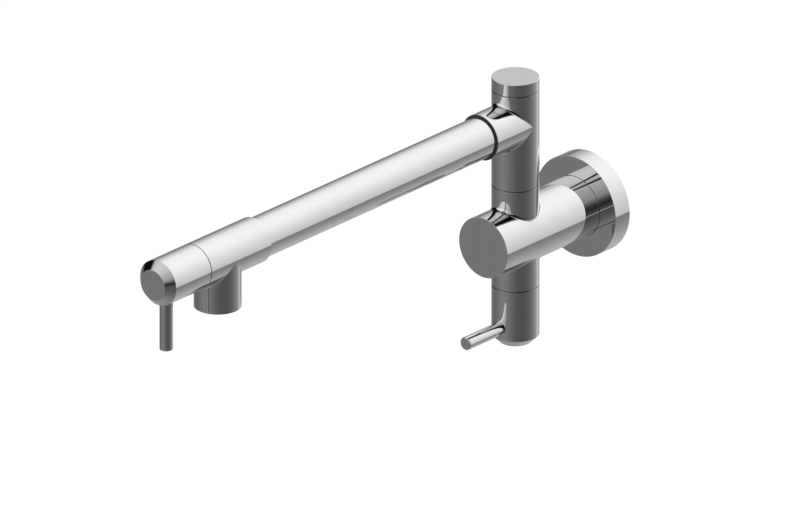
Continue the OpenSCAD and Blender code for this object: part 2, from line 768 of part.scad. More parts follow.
// Stem: two lugs, a plate, the shaft with its grooves, and the splined end
module valve_stem() {
    plate_r = chamber_r - running_fit;
    lug_top = plate_level + stem_plate_t / 2;
    difference() {
        union() {
            translate([0, 0, plate_level]) cylinder(r = plate_r, h = stem_plate_t);
            intersection() {
                cylinder(r = disc_r - ring_fit, h = lug_top);
                for (side = [0, 180]) rotate(side)
                    translate([disc_r - lug_t - ring_fit, -lug_w / 2, window_level - lug_bite])
                        cube([disc_r, lug_w, lug_top - window_level + lug_bite]);
            }
            translate([0, 0, plate_level]) cylinder(r = stem_r, h = stem_shoulder - plate_level);
            translate([0, 0, stem_shoulder - cut]) linear_extrude(height = spline_h + cut)
                spline_outline(spline_r, spline_tooth_h);
        }
        for (level = stem_ring_levels) translate([0, 0, level])
            shaft_groove(stem_bore_r - stem_ring_d - 2 * ring_fit, stem_r, stem_groove_w);
        translate([0, 0, hex_top + clip_t / 2 + ring_fit])
            shaft_groove(stem_r - clip_groove_h, stem_r, clip_t + 2 * ring_fit);
    }
}

module seat_seal() {
    flat_ring(seat_hole_d / 2, chamber_r - ring_fit, seat_seal_h);
}

module glide_ring() {
    translate([0, 0, glide_level])
        flat_ring(stem_r + ring_fit, chamber_r - ring_fit, glide_ring_t);
}

module stem_rings() {
    for (level = stem_ring_levels) translate([0, 0, level])
        seal_ring(stem_bore_r - ring_fit - stem_ring_d / 2, stem_ring_d);
}

module thread_ring() {
    translate([0, 0, seat_depth - mouth_h / 2])
        seal_ring(valve_thread_r + ring_fit + thread_ring_d / 2, thread_ring_d);
}

// Open clip in the stem's groove, above the hexagon
module stem_clip() {
    mouth_w = stem_r;
    translate([0, 0, hex_top + ring_fit]) difference() {
        flat_ring(stem_r - clip_groove_h + ring_fit, clip_d / 2, clip_t);
        translate([-mouth_w / 2, 0, -cut]) cube([mouth_w, clip_d, clip_t + 2 * cut]);
    }
}

// Handle with its chamfered end, the broached bore, the lever seat and a grub hole
module handle(grub_side) {
    difference() {
        rotate_extrude() polygon([
            [0, handle_start],
            [post_r, handle_start],
            [post_r, handle_end - handle_chamfer],
            [post_r - handle_chamfer, handle_end],
            [0, handle_end]
        ]);
        translate([0, 0, handle_start - cut])
            cylinder(d = handle_bore_d, h = stem_shoulder - handle_start + cut);
        translate([0, 0, stem_shoulder - cut]) linear_extrude(height = spline_h + cut + axial_play)
            spline_outline(spline_r + socket_fit, spline_tooth_h);
        translate([0, 0, lever_level]) rotate([90, 0, 0])
            translate([0, 0, lever_seat_r]) cylinder(r = lever_d / 2 + socket_fit, h = post_r);
        translate([0, 0, lever_level]) rotate([90, 0, 0])
            translate([0, 0, lever_seat_r - stud_h - axial_play])
                cylinder(r = stud_d / 2 + thread_fit, h = post_r);
        translate([0, 0, grub_level]) rotate([0, 90 * grub_side, 0])
            cylinder(r = grub_d / 2 + thread_fit, h = post_d);
    }
}

// Lever pin with rounded edges and a threaded stud
module lever() {
    translate([0, 0, lever_level]) rotate([90, 0, 0]) rotate_extrude() {
        translate([0, lever_seat_r - stud_h]) square([stud_d / 2, stud_h + cut]);
        translate([0, lever_seat_r])
            square([lever_d / 2, lever_reach - lever_edge_r - lever_seat_r]);
        translate([0, lever_seat_r])
            square([lever_d / 2 - lever_edge_r, lever_reach - lever_seat_r]);
        translate([lever_d / 2 - lever_edge_r, lever_reach - lever_edge_r])
            circle(r = lever_edge_r);
    }
}

// Grub screw that bears on the splines
module grub_screw(grub_side) {
    tip_r = spline_r + socket_fit;
    head_r = post_r - grub_inset;
    translate([0, 0, grub_level]) rotate([0, 90 * grub_side, 0]) difference() {
        translate([0, 0, tip_r]) cylinder(d = grub_d, h = head_r - tip_r);
        translate([0, 0, head_r - grub_key_h])
            cylinder(d = grub_key_af / cos(30), h = grub_key_h + cut, $fn = 6);
    }
}

module supply_valve_housing() { color(brass) at_supply() valve_housing(); }
module supply_thread_ring() { color(rubber) at_supply() thread_ring(); }
module supply_seat_seal() { color(rubber) at_supply() seat_seal(); }
module supply_fixed_disc() { color(ceramic) at_supply() translate([0, 0, disc_level]) fixed_disc(); }
module supply_moving_disc() { color(ceramic) at_supply() translate([0, 0, moving_level]) moving_disc(); }
module supply_valve_stem() { color(brass) at_supply() valve_stem(); }
module supply_glide_ring() { color(polymer) at_supply() glide_ring(); }
module supply_stem_rings() { color(rubber) at_supply() stem_rings(); }
module supply_stem_clip() { color(steel) at_supply() stem_clip(); }
module supply_handle() { color(chrome) at_supply() handle(1); }
module supply_lever() { color(chrome) at_supply() lever(); }
module supply_grub_screw() { color(steel) at_supply() grub_screw(1); }

module outlet_valve_housing() { color(brass) at_outlet() valve_housing(); }
module outlet_thread_ring() { color(rubber) at_outlet() thread_ring(); }
module outlet_seat_seal() { color(rubber) at_outlet() seat_seal(); }
module outlet_fixed_disc() { color(ceramic) at_outlet() translate([0, 0, disc_level]) fixed_disc(); }
module outlet_moving_disc() { color(ceramic) at_outlet() translate([0, 0, moving_level]) moving_disc(); }
module outlet_valve_stem() { color(brass) at_outlet() valve_stem(); }
module outlet_glide_ring() { color(polymer) at_outlet() glide_ring(); }
module outlet_stem_rings() { color(rubber) at_outlet() stem_rings(); }
module outlet_stem_clip() { color(steel) at_outlet() stem_clip(); }
module outlet_handle() { color(chrome) at_outlet() handle(-1); }
module outlet_lever() { color(chrome) at_outlet() lever(); }
module outlet_grub_screw() { color(steel) at_outlet() grub_screw(-1); }

wall_flange();
flange_gasket();
flange_grip_ring();
inlet_nipple();
inlet_washer();
valve_body();
swivel_spigot();
spigot_base_washer();
swivel_seal_rings();
swivel_wear_rings();
thrust_washer();
retaining_washer();
retaining_screw();
arm_tee();
top_cap();
top_cap_ring();
arm_tube();
tube_seal_rings();
outlet_body();
aerator_ring();
aerator_insert();
aerator_washer();
supply_valve_housing();
supply_thread_ring();
supply_seat_seal();
supply_fixed_disc();
supply_moving_disc();
supply_valve_stem();
supply_glide_ring();
supply_stem_rings();
supply_stem_clip();
supply_handle();
supply_lever();
supply_grub_screw();
outlet_valve_housing();
outlet_thread_ring();
outlet_seat_seal();
outlet_fixed_disc();
outlet_moving_disc();
outlet_valve_stem();
outlet_glide_ring();
outlet_stem_rings();
outlet_stem_clip();
outlet_handle();
outlet_lever();
outlet_grub_screw();
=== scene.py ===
# Wall-mounted pot filler in polished chrome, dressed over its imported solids
#
# The frame is the solids' own: the wall is the plane y = 0, the barrel's axis
# is z = 0, and the arm points along -Y. Sizes are written in millimetres and
# become metres where a mesh is made.

import json
import math

import bpy
import numpy as np
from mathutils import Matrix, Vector
from mathutils.kdtree import KDTree


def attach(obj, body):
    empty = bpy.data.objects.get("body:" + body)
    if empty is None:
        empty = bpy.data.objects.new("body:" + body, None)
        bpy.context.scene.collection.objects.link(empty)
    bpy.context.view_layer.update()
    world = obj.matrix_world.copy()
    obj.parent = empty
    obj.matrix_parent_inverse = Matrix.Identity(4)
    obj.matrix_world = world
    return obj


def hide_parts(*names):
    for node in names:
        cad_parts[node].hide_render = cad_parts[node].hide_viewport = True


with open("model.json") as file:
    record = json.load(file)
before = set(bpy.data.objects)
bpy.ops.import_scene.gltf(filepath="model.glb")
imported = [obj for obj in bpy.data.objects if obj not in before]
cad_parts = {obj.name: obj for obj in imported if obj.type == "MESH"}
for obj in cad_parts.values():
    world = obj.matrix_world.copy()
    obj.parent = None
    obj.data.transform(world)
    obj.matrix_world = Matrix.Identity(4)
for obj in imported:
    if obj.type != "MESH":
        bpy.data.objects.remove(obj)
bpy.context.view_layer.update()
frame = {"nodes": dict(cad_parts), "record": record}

MM = 0.001

# Sizes in millimetres. Places on the barrel count out from the wall, those on the
# post up from the barrel's axis, and those on the arm out from the post's axis.
BARREL_R = 20
BARREL_BACK = 1
BARREL_END = 100.8
POST_AT = 70.3
POST_R = 15
NECK_TOP = 33.8
NECK_FOOT = -33.5
TEE_FOOT = 34.3
TEE_TOP = 98
ARM_UP = 75.7
TUBE_R = 13.35
TUBE_BORE_R = 11.85
TUBE_START = 20.9
TUBE_END = 259.6
OUTLET_START = 247.6
OUTLET_END = 303.85
SPOUT_AT = 281.4
SPOUT_MOUTH = 33.4

# The collar and the outlet take the tube in a socket, with the seat of a black ring
# in its mouth. The collar's mouth and ring follow the photo, so they are a little
# shorter and wider than the solids.
SOCKET_R = 13.39
COLLAR_END = 33.4
COLLAR_SEAT_R = 14.9
OUTLET_SEAT_R = 14.65
RING_SEAT_DEEP = 1.6

# Places on a handle count along its axis, and those on its lever and its grub
# screw out from that axis.
HANDLE_START = 0.5
HANDLE_END = 38.85
HANDLE_CHAMFER = 5
LEVER_AT = 26.1
LEVER_R = 4.25
LEVER_SEAT = 9
LEVER_END = 47.3
LEVER_ROUND = 0.5
GRUB_AT = 15

# The water's way, the bore that takes the inlet's and the cartridges' threads, the
# wall gasket, and how far a cutting shape runs past the surface that it opens
WATER_R = 5.5
WATER_DROP = 4
THREAD_BORE_R = 10.53
GASKET_THICK = 1.8
PAST = 1

# Easing of edges, from soft to keen, and the fillet where two tubes cross
CRISP = 0.2
FINE = 0.12
KEEN = 0.05
BLEND_R = 2.1

# A length in millimetres and an angle in radians that count as nothing, and the
# widest step of an eased corner in degrees
TINY = 1e-6
TINY_ANGLE = 1e-5
ARC_STEP = 15

# Directions
OUT, UP, DOWN, LEFT = (0, -1, 0), (0, 0, 1), (0, 0, -1), (-1, 0, 0)


# Turning axes

def turning_axis(start, along, side):
    """Start point, direction, where a turn begins, and where it is a quarter on."""
    along, side = Vector(along), Vector(side)
    return Vector(start), along, side, along.cross(side)


BARREL_AXIS = turning_axis((0, 0, 0), OUT, UP)
PASSAGE_AXIS = turning_axis((0, 0, -WATER_DROP), OUT, UP)
POST_AXIS = turning_axis((0, -POST_AT, 0), UP, OUT)
ARM_AXIS = turning_axis((0, -POST_AT, ARM_UP), OUT, UP)
NECK_AXIS = turning_axis((0, -POST_AT, 0), DOWN, OUT)
SPOUT_AXIS = turning_axis((0, -POST_AT - SPOUT_AT, ARM_UP), DOWN, OUT)
SUPPLY_AXIS = turning_axis((0, -POST_AT, NECK_FOOT), DOWN, OUT)
OUTLET_AXIS = turning_axis((0, -POST_AT - OUTLET_END, ARM_UP), OUT, DOWN)


# Lathe work: every stroke of a turned outline, and the spots and normals of every
# fillet. A face is marked with its stroke's number, or as flat, or as a fillet's.

STROKES = []
BLENDS = []
FLAT, BLENDED = -1, -2


def outline(*corners, closed=False):
    """Strokes of a turned outline: each corner is (radius, place, easing).

    A stroke is its two ends and the outward normals there. A corner with an
    easing becomes a short arc, so that its polished edge catches the light."""
    spots = [Vector(corner[:2]) for corner in corners]
    easings = [corner[2] if len(corner) > 2 else 0 for corner in corners]
    total = len(spots)
    arrivals, departures, arcs = list(spots), list(spots), {}
    for i in range(total):
        if easings[i] <= 0:
            continue
        here, before, after = spots[i], spots[i - 1], spots[(i + 1) % total]
        inward, outward = (here - before).normalized(), (after - here).normalized()
        turn = math.atan2(inward.x * outward.y - inward.y * outward.x, inward.dot(outward))
        back_off = easings[i] * math.tan(abs(turn) / 2)
        arrivals[i], departures[i] = here - inward * back_off, here + outward * back_off
        normal = Vector((inward.y, -inward.x))
        sign = 1 if turn > 0 else -1
        centre = arrivals[i] - normal * easings[i] * sign
        steps = max(2, round(abs(math.degrees(turn)) / ARC_STEP))
        fan = []
        for k in range(steps + 1):
            angle = turn * k / steps
            swung = Vector((normal.x * math.cos(angle) - normal.y * math.sin(angle),
                            normal.x * math.sin(angle) + normal.y * math.cos(angle)))
            fan.append((centre + swung * easings[i] * sign, swung))
        arcs[i] = fan
    strokes = []
    for i in range(total if closed else total - 1):
        j = (i + 1) % total
        start, end = departures[i], arrivals[j]
        run = (end - start).normalized()
        normal = Vector((run.y, -run.x))
        strokes.append((start, end, normal, normal))
        for (spot_a, normal_a), (spot_b, normal_b) in zip(arcs.get(j, []), arcs.get(j, [])[1:]):
            strokes.append((spot_a, spot_b, normal_a, normal_b))
    return strokes


class Shell:
    """Points and faces in the making, each face marked with the stroke it comes from."""

    def __init__(self):
        self.points, self.faces, self.marks = [], [], []

    def spot(self, place):
        """Adds a point, given in millimetres, and returns its number."""
        self.points.append(place * MM)
        return len(self.points) - 1

    def ring(self, axis, spot, angles):
        """A ring of points round an axis, or a single one on the axis itself."""
        start, along, side, across = axis
        radius, place = spot
        middle = start + along * place
        if radius < TINY:
            return [self.spot(middle)] * len(angles)
        return [self.spot(middle + (side * math.cos(a) + across * math.sin(a)) * radius)
                for a in angles]

    def strip(self, low, high, mark):
        """A row of faces between two rings. Where they share points, the faces narrow."""
        for k in range(len(low)):
            n = (k + 1) % len(low)
            loop = []
            for corner in (low[k], low[n], high[n], high[k]):
                if corner not in loop:
                    loop.append(corner)
            if len(loop) > 2:
                self.faces.append(loop)
                self.marks.append(mark)

    def rows(self, axis, strokes, angles, first=None, last=None):
        """Rows of faces along an outline, which may begin or end on a ring that is there."""
        low = first or self.ring(axis, strokes[0][0], angles)
        for i, stroke in enumerate(strokes):
            ending = last and i == len(strokes) - 1
            high = last if ending else self.ring(axis, stroke[1], angles)
            self.strip(low, high, len(STROKES))
            STROKES.append((axis[0], axis[1], *stroke))
            low = high

    def mesh(self):
        """The mesh of all the points and faces so far."""
        return marked_mesh(self.points, self.faces, self.marks)


def full_turn(turns):
    """The angles of the points on a whole ring."""
    return [2 * math.pi * k / turns for k in range(turns)]


def turned(axis, strokes, turns=240):
    """A mesh turned on an axis from outline strokes."""
    shell = Shell()
    angles = full_turn(turns)
    first = shell.ring(axis, strokes[0][0], angles)
    closed = (strokes[0][0] - strokes[-1][1]).length < TINY
    shell.rows(axis, strokes, angles, first, first if closed else None)
    return shell.mesh()


def blended(shell, main_r, branch, branch_r, turns):
    """The fillet that a ball leaves when it rolls round the foot of a branch.

    Returns the ring of points where the fillet meets the main tube, and the ring
    where it meets the branch. Both begin on the far side along the main tube."""
    start, along, side, across = branch
    steps = 8
    rings = [[] for _ in range(steps + 1)]
    for k, angle in enumerate(full_turn(turns)):
        from_branch = side * math.cos(angle) + across * math.sin(angle)
        sideways = (branch_r + BLEND_R) * math.sin(angle)
        height = math.sqrt(max((main_r + BLEND_R) ** 2 - sideways ** 2, 0))
        ball = start + along * height + from_branch * (branch_r + BLEND_R)
        from_main = (along * height + across * sideways).normalized()
        swing = math.acos(min(from_main.dot(from_branch), 1))
        in_line = swing < TINY_ANGLE
        for i in range(steps + 1):
            share = i / steps
            normal = from_branch if in_line else (
                from_main * math.sin((1 - share) * swing)
                + from_branch * math.sin(share * swing)) / math.sin(swing)
            touch = ball - normal * BLEND_R
            rings[i].append(rings[0][k] if in_line and i else shell.spot(touch))
            BLENDS.append((touch * MM, normal))
    for low, high in zip(rings, rings[1:]):
        shell.strip(low, high, BLENDED)
    return rings[0], rings[-1]


def crossing(main, foot, top, branches, turns=240):
    """A closed shell of a tube and the branches that leave it at right angles.

    foot and top are the main tube's outlines, up to its crossing with the branches
    and on from there. A branch is its axis, whose turn begins along the main tube,
    and its outline."""
    shell = Shell()
    main_r, level = top[0][0]
    quarter = turns // 4

    # The main tube's columns: its angle, and the points where the rows of its foot end
    # and those of its top begin. At a branch these are two points of the fillet.
    columns = []
    for branch, rising in branches:
        low_ring, high_ring = blended(shell, main_r, branch, rising[0][0][0], turns)
        shell.rows(branch, rising, full_turn(turns), first=high_ring)
        for k in range(-quarter, quarter + 1):
            upper, lower = low_ring[k % turns], low_ring[(turns // 2 - k) % turns]
            reach = shell.points[upper] / MM - main[0]
            columns.append((math.atan2(reach.dot(main[3]), reach.dot(main[2])), lower, upper))
    columns.sort(key=lambda column: column[0])

    # Between the branches the foot's rows and the top's share their points
    filled = []
    for i, column in enumerate(columns):
        filled.append(column)
        gap = (columns[(i + 1) % len(columns)][0] - column[0]) % (2 * math.pi)
        spare = round(gap * turns / (2 * math.pi)) - 1
        for k in range(spare):
            angle = column[0] + gap * (k + 1) / (spare + 1)
            waist = shell.ring(main, (main_r, level), [angle])[0]
            filled.append((angle, waist, waist))
    angles = [column[0] for column in filled]
    shell.rows(main, foot, angles, last=[column[1] for column in filled])
    shell.rows(main, top, angles, first=[column[2] for column in filled])
    return shell.mesh()


def marked_mesh(points, faces, marks):
    """A mesh whose faces keep their marks."""
    mesh = bpy.data.meshes.new("work")
    mesh.from_pydata([tuple(p) for p in points], [], faces)
    mark = mesh.attributes.new("stroke", "INT", "FACE")
    mark.data.foreach_set("value", marks)
    return mesh


def prism(axis, corners, low, high):
    """A straight-sided block along an axis, for key sockets, notches and splines."""
    start, along, side, across = axis
    points = [(start + side * a + across * b + along * place) * MM
              for place in (low, high) for a, b in corners]
    n = len(corners)
    faces = [list(range(n))[::-1], list(range(n, 2 * n))]
    faces += [[k, (k + 1) % n, n + (k + 1) % n, n + k] for k in range(n)]
    return marked_mesh(points, faces, [FLAT] * len(faces))


def hexagon(width_across_flats):
    """Corners of a key socket."""
    reach = width_across_flats / math.sqrt(3)
    return [(reach * math.cos(math.radians(60 * k)), reach * math.sin(math.radians(60 * k)))
            for k in range(6)]


def spline_teeth(tip_r, tooth_h, teeth):
    """Corners of a toothed outline, as on the valve stem's splines."""
    root_r = tip_r - tooth_h
    flank = ((-0.3, root_r), (-0.2, tip_r), (0.2, tip_r), (0.3, root_r))
    corners = []
    for k in range(teeth):
        for share, radius in flank:
            angle = 2 * math.pi * (k + share) / teeth
            corners.append((radius * math.cos(angle), radius * math.sin(angle)))
    return corners


def placed(name, data):
    """A new object in the scene."""
    item = bpy.data.objects.new(name, data)
    bpy.context.scene.collection.objects.link(item)
    return item


def settled(blank, *tools):
    """The mesh that an object's modifiers leave. The object and its tools then go."""
    seen = blank.evaluated_get(bpy.context.evaluated_depsgraph_get())
    mesh = bpy.data.meshes.new_from_object(seen)
    for item in (blank, *tools):
        old = item.data
        bpy.data.objects.remove(item)
        bpy.data.meshes.remove(old)
    return mesh


def cut_away(mesh, *shapes):
    """A mesh after each of the shapes is cut out of it."""
    blank = placed("blank", mesh)
    tools = [placed("tool", shape) for shape in shapes]
    for tool in tools:
        modifier = blank.modifiers.new("cut", "BOOLEAN")
        modifier.object = tool
        modifier.operation = "DIFFERENCE"
        modifier.solver = "EXACT"
    return settled(blank, *tools)


def values_of(items, key, width=1, kind=float):
    """One number, or one row of numbers, for each vertex, corner or face."""
    values = np.empty(len(items) * width, kind)
    items.foreach_get(key, values)
    return values.reshape(-1, width) if width > 1 else values


def true_normals(mesh):
    """Gives every corner the normal of the turned surface that its face came from,
    so that the mirror finish shows no facets."""
    spots = values_of(mesh.vertices, "co", 3)
    corner_spot = values_of(mesh.loops, "vertex_index", kind=np.int32)
    owner = np.repeat(np.arange(len(mesh.polygons)),
                      values_of(mesh.polygons, "loop_total", kind=np.int32))
    flat = values_of(mesh.polygons, "normal", 3)[owner]
    centre = values_of(mesh.polygons, "center", 3)[owner]
    mark = values_of(mesh.attributes["stroke"].data, "value", kind=np.int32)[owner]
    known = mark >= 0
    normals = flat.copy()
    if known.any():
        # A corner on the axis has no direction of its own and takes its face's
        on_axis, nothing = 1e-7, 1e-12
        table = np.array([[number for vector in stroke for number in vector]
                          for stroke in STROKES])[mark[known]]
        start, along = table[:, 0:3] * MM, table[:, 3:6]
        spot_a, spot_b = table[:, 6:8] * MM, table[:, 8:10] * MM
        normal_a, normal_b = table[:, 10:12], table[:, 12:14]
        arm = spots[corner_spot[known]] - start
        place = (arm * along).sum(1)
        reach = arm - along * place[:, None]
        radius = np.linalg.norm(reach, axis=1)
        middle = centre[known] - start
        middle = middle - along * (middle * along).sum(1)[:, None]
        reach = np.where(radius[:, None] > on_axis, reach, middle)
        reach /= np.maximum(np.linalg.norm(reach, axis=1), nothing)[:, None]
        run = spot_b - spot_a
        share = ((np.stack([radius, place], 1) - spot_a) * run).sum(1) / (run * run).sum(1)
        share = np.clip(share, 0, 1)[:, None]
        normal = normal_a * (1 - share) + normal_b * share
        exact = reach * normal[:, :1] + along * normal[:, 1:]
        exact /= np.linalg.norm(exact, axis=1)[:, None]
        exact *= np.where((exact * flat[known]).sum(1) < 0, -1, 1)[:, None]
        normals[known] = exact
    if (mark == BLENDED).any():
        nearest = KDTree(len(BLENDS))
        for i, (spot, normal) in enumerate(BLENDS):
            nearest.insert(spot, i)
        nearest.balance()
        for corner in np.nonzero(mark == BLENDED)[0]:
            normals[corner] = BLENDS[nearest.find(spots[corner_spot[corner]])[1]][1]
    mesh.shade_smooth()
    mesh.normals_split_custom_set([tuple(n) for n in normals])


def finished(name, mesh, body, slot, stands_for):
    """The finished piece: named, given its material, and riding on its body."""
    mesh.name = name
    mesh.materials.clear()
    mesh.materials.append(FINISHES[slot])
    for face in mesh.polygons:
        face.material_index = 0
    piece = placed(name, mesh)
    if "stroke" in mesh.attributes:
        true_normals(mesh)
        mesh.attributes.remove(mesh.attributes["stroke"])
    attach(piece, body)
    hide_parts(stands_for)


# Node helpers for the finishes, the shapes that repeat and the studio

def feed(tree, socket, value):
    """Sets a socket to a number or a colour, or links it to another socket."""
    if isinstance(value, bpy.types.NodeSocket):
        tree.links.new(value, socket)
    else:
        socket.default_value = value


def node_of(tree, kind, inputs=None, **settings):
    """A node with its settings, and with what goes into its inputs."""
    node = tree.nodes.new(kind)
    for key, value in settings.items():
        setattr(node, key, value)
    for key, value in (inputs or {}).items():
        feed(tree, node.inputs[key], value)
    return node


def maths(tree, operation, *values):
    """The result of one calculation with sockets or numbers."""
    return node_of(tree, "ShaderNodeMath", dict(enumerate(values)), operation=operation).outputs[0]


def spread(tree, value, low, high, start, end, easing="LINEAR"):
    """Maps a value's range to another one."""
    node = node_of(tree, "ShaderNodeMapRange", {
        "Value": value, "From Min": low, "From Max": high, "To Min": start, "To Max": end},
        interpolation_type=easing)
    return node.outputs["Result"]


def new_material(name, metallic=0):
    """A material with its node tree, its shader and the object's coordinates."""
    material = bpy.data.materials.new(name)
    material.use_nodes = True
    tree = material.node_tree
    shader = tree.nodes["Principled BSDF"]
    shader.inputs["Metallic"].default_value = metallic
    where = tree.nodes.new("ShaderNodeTexCoord").outputs["Object"]
    return material, tree, shader, where


def mottle(tree, where, scale, detail=2.0):
    """A cloudy pattern between 0 and 1."""
    node = node_of(tree, "ShaderNodeTexNoise", {"Vector": where, "Scale": scale, "Detail": detail})
    return node.outputs["Fac"]


def grey(level):
    """A colour without a hue."""
    return level, level, level


def tint(tree, value, dark, light):
    """Runs between two colours as a value goes from 0 to 1."""
    factor, first, second, result = 0, 6, 7, 2
    node = node_of(tree, "ShaderNodeMix", {
        factor: value, first: (*dark, 1), second: (*light, 1)}, data_type="RGBA")
    return node.outputs[result]


def relief(tree, shader, height, depth, strength):
    """Turns a height into bump on the shader's normal."""
    node = node_of(tree, "ShaderNodeBump", {
        "Strength": strength, "Distance": depth * MM, "Height": height})
    feed(tree, shader.inputs["Normal"], node.outputs["Normal"])


def stretched(tree, where, scale):
    """Object coordinates squeezed along the axes, for grain that runs one way."""
    return node_of(tree, "ShaderNodeMapping", {"Vector": where, "Scale": scale}).outputs["Vector"]


def patterned(tree, shader, stain, dark, light, grain, smooth, rough, band=(0.3, 0.7)):
    """One pattern runs a finish between two colours, and one between two roughnesses."""
    feed(tree, shader.inputs["Base Color"], tint(tree, stain, dark, light))
    feed(tree, shader.inputs["Roughness"], spread(tree, grain, *band, smooth, rough))


# Finishes

def chrome_plate():
    """Mirror chrome: barely mottled by the plating, with the haze of wiping."""
    material, tree, shader, where = new_material("chrome_plate", metallic=1)
    plating = spread(tree, mottle(tree, where, scale=90), 0.35, 0.65, 0, 1)
    wiping = mottle(tree, stretched(tree, where, (1, 0.25, 1)), scale=260, detail=4)
    patterned(tree, shader, plating, grey(0.672), grey(0.688), wiping, 0.015, 0.045, (0.3, 0.75))
    return material


def machined_brass():
    """Bare brass with fine turning marks."""
    material, tree, shader, where = new_material("machined_brass", metallic=1)
    stain = mottle(tree, where, scale=120, detail=3)
    marks = mottle(tree, stretched(tree, where, (0.15, 1, 1)), scale=2600, detail=1)
    patterned(tree, shader, stain, (0.74, 0.57, 0.28), (0.82, 0.66, 0.38), marks, 0.2, 0.36)
    relief(tree, shader, marks, depth=0.02, strength=0.25)
    return material


def plain_steel():
    """Stainless steel with a drawn grain."""
    material, tree, shader, where = new_material("plain_steel", metallic=1)
    grain = mottle(tree, stretched(tree, where, (1, 1, 0.1)), scale=3000, detail=2)
    patterned(tree, shader, grain, (0.55, 0.55, 0.56), (0.65, 0.65, 0.66), grain, 0.22, 0.34)
    return material


def black_rubber():
    """Moulded rubber with a dusty bloom."""
    material, tree, shader, where = new_material("black_rubber")
    bloom = mottle(tree, where, scale=240, detail=4)
    patterned(tree, shader, bloom, grey(0.022), grey(0.042), bloom, 0.55, 0.75)
    relief(tree, shader, mottle(tree, where, scale=2400, detail=2), depth=0.03, strength=0.3)
    return material


def lapped_ceramic():
    """Pale ceramic, lapped nearly to a polish."""
    material, tree, shader, where = new_material("lapped_ceramic")
    speckle = mottle(tree, where, scale=900, detail=3)
    patterned(tree, shader, speckle, (0.85, 0.84, 0.81), (0.90, 0.89, 0.87), speckle, 0.14, 0.24)
    return material


def pale_polymer():
    """Moulded white polymer with a faint flow pattern."""
    material, tree, shader, where = new_material("pale_polymer")
    flow = mottle(tree, where, scale=160, detail=3)
    patterned(tree, shader, flow, (0.84, 0.84, 0.82), (0.88, 0.88, 0.86), flow, 0.38, 0.5)
    relief(tree, shader, mottle(tree, where, scale=1800, detail=2), depth=0.02, strength=0.2)
    return material


def dark_polymer():
    """Black bearing polymer, with the faint sheen of its filling."""
    material, tree, shader, where = new_material("dark_polymer")
    filling = mottle(tree, where, scale=700, detail=3)
    patterned(tree, shader, filling, grey(0.028), grey(0.042), filling, 0.4, 0.55)
    return material


# The finish of each material slot
FINISHES = {
    "polished_chrome": chrome_plate(),
    "machined_brass": machined_brass(),
    "stainless_steel": plain_steel(),
    "black_rubber": black_rubber(),
    "white_ceramic": lapped_ceramic(),
    "white_polymer": pale_polymer(),
    "black_polymer": dark_polymer(),
}


def dress_solids():
    """Gives every solid its slot's finish. The inner ones are seen just as they are."""
    for entry in frame["record"]["subparts"]:
        solid = frame["nodes"][entry["node"]]
        solid.data.materials.clear()
        solid.data.materials.append(FINISHES[entry["material_slot"]])


# Pieces on the wall

def flange_cover():
    """The round cover on the wall, hollow behind, with its boss for the grip ring."""
    bore_r, groove_r, boss_r, hollow_r, outer_r = 20.15, 22.15, 24.15, 28.9, 33.1
    boss_back, groove_back, groove_front, hollow_end, front = 4.5, 6.45, 8.55, 10.5, 13.5
    gasket_in_r, gasket_out_r = 29.85, 32.15
    strokes = outline(
        (bore_r, boss_back), (boss_r, boss_back, FINE), (boss_r, hollow_end),
        (hollow_r, hollow_end), (hollow_r, 0), (gasket_in_r, 0), (gasket_in_r, GASKET_THICK),
        (gasket_out_r, GASKET_THICK), (gasket_out_r, 0), (outer_r, 0, FINE),
        (outer_r, front, CRISP), (bore_r, front, FINE), (bore_r, groove_front),
        (groove_r, groove_front), (groove_r, groove_back), (bore_r, groove_back), closed=True)
    finished("flange_cover", turned(BARREL_AXIS, strokes, turns=288), "wall_mount",
             "polished_chrome", "wall_flange")


def wall_gasket():
    """The flat gasket in the cover's rim."""
    inner_r, outer_r = 29.9, 32.1
    strokes = outline((inner_r, 0, FINE), (outer_r, 0, FINE), (outer_r, GASKET_THICK),
                      (inner_r, GASKET_THICK), closed=True)
    finished("wall_gasket", turned(BARREL_AXIS, strokes, turns=192), "wall_mount",
             "black_rubber", "flange_gasket")


def cartridge_pocket(axis):
    """What a valve cartridge needs cut away, from its seat to the mouth."""
    bore_r, mouth_r = 10, 12.08
    seat, thread_start, thread_end = -38, -10.55, -1.55
    return turned(axis, outline(
        (0, seat), (bore_r, seat), (bore_r, thread_start), (THREAD_BORE_R, thread_start),
        (THREAD_BORE_R, thread_end), (mouth_r, thread_end), (mouth_r, PAST), (0, PAST)),
        turns=192)


